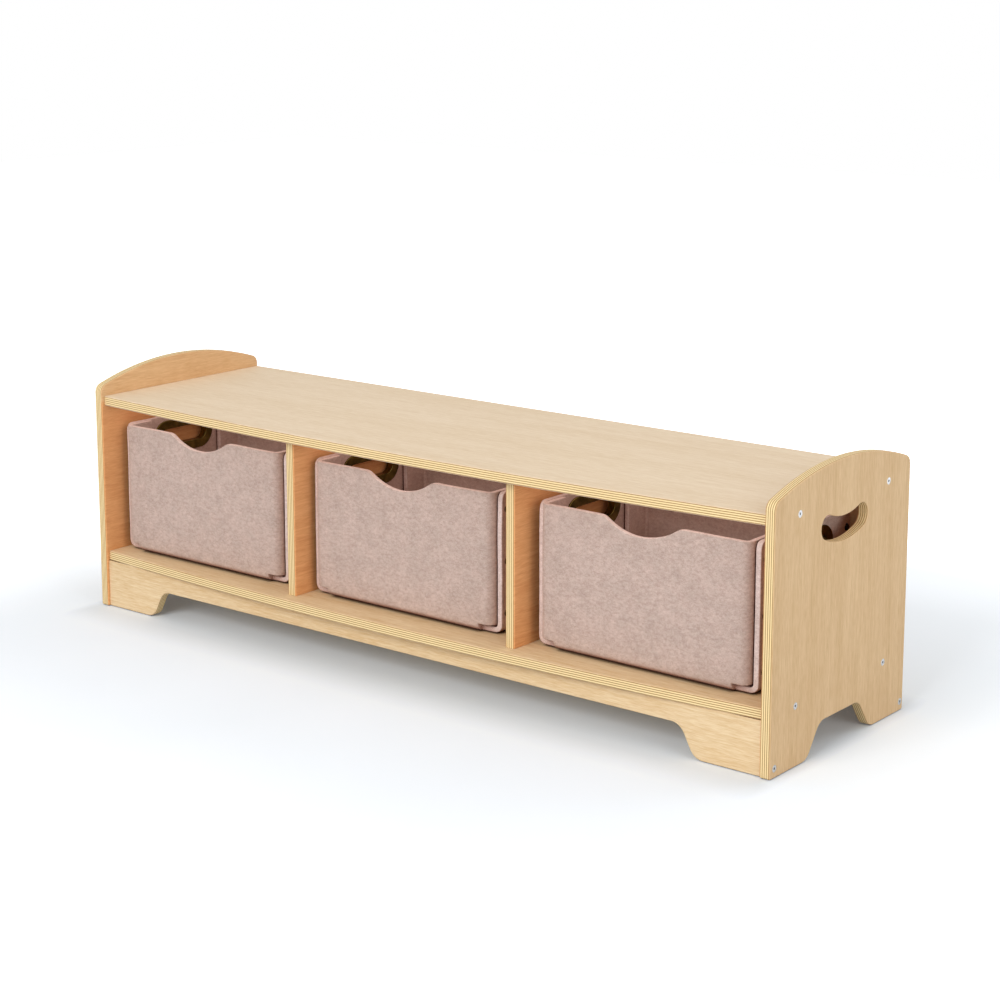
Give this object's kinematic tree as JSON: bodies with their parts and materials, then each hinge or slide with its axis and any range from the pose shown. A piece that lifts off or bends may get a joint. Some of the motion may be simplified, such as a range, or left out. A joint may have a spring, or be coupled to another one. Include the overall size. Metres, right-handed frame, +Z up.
{
  "type": "toy storage bench",
  "caption": "Low plywood toy storage bench with arched end panels, bowed seat and shelf, and loose felt bins that slide out of its open bays.",
  "frame": {"origin": "on the floor under the middle of the bench's bounding box", "axes": "+X to the bench's right end as seen from the front, the open front faces -Y, +Z up"},
  "size_m": [1.22, 0.3599, 0.3785],
  "materials": {
    "panel_ply": "clear matt lacquer on pale plywood",
    "board_ply": "clear matt lacquer on pale plywood",
    "back_ply": "thin pale plywood",
    "screw_steel": "bright nickel",
    "bin_felt": "thick stiff wool felt",
    "grommet_metal": "antique dark brass",
    "rivet_black": "satin black"
  },
  "bodies": {
    "bench": {"left_end_panel": "panel_ply", "right_end_panel": "panel_ply", "seat_board": "board_ply", "bottom_shelf": "board_ply", "left_divider": "board_ply", "right_divider": "board_ply", "front_kick_board": "board_ply", "rear_kick_board": "board_ply", "back_panel": "back_ply", "left_end_screws": "screw_steel", "right_end_screws": "screw_steel"},
    "left_bin": {"left_bin_felt": "bin_felt", "left_bin_left_grommet": "grommet_metal", "left_bin_right_grommet": "grommet_metal", "left_bin_rivets": "rivet_black"},
    "middle_bin": {"middle_bin_felt": "bin_felt", "middle_bin_left_grommet": "grommet_metal", "middle_bin_right_grommet": "grommet_metal", "middle_bin_rivets": "rivet_black"},
    "right_bin": {"right_bin_felt": "bin_felt", "right_bin_left_grommet": "grommet_metal", "right_bin_right_grommet": "grommet_metal", "right_bin_rivets": "rivet_black"}
  },
  "joints": [
    {"name": "left_bin_slide", "type": "slide", "parent": "bench", "child": "left_bin", "axis": [0, -1, 0], "range_m": [-0.045, 0.3]},
    {"name": "middle_bin_slide", "type": "slide", "parent": "bench", "child": "middle_bin", "axis": [0, -1, 0], "range_m": [-0.045, 0.3]},
    {"name": "right_bin_slide", "type": "slide", "parent": "bench", "child": "right_bin", "axis": [0, -1, 0], "range_m": [-0.045, 0.3]}
  ]
}
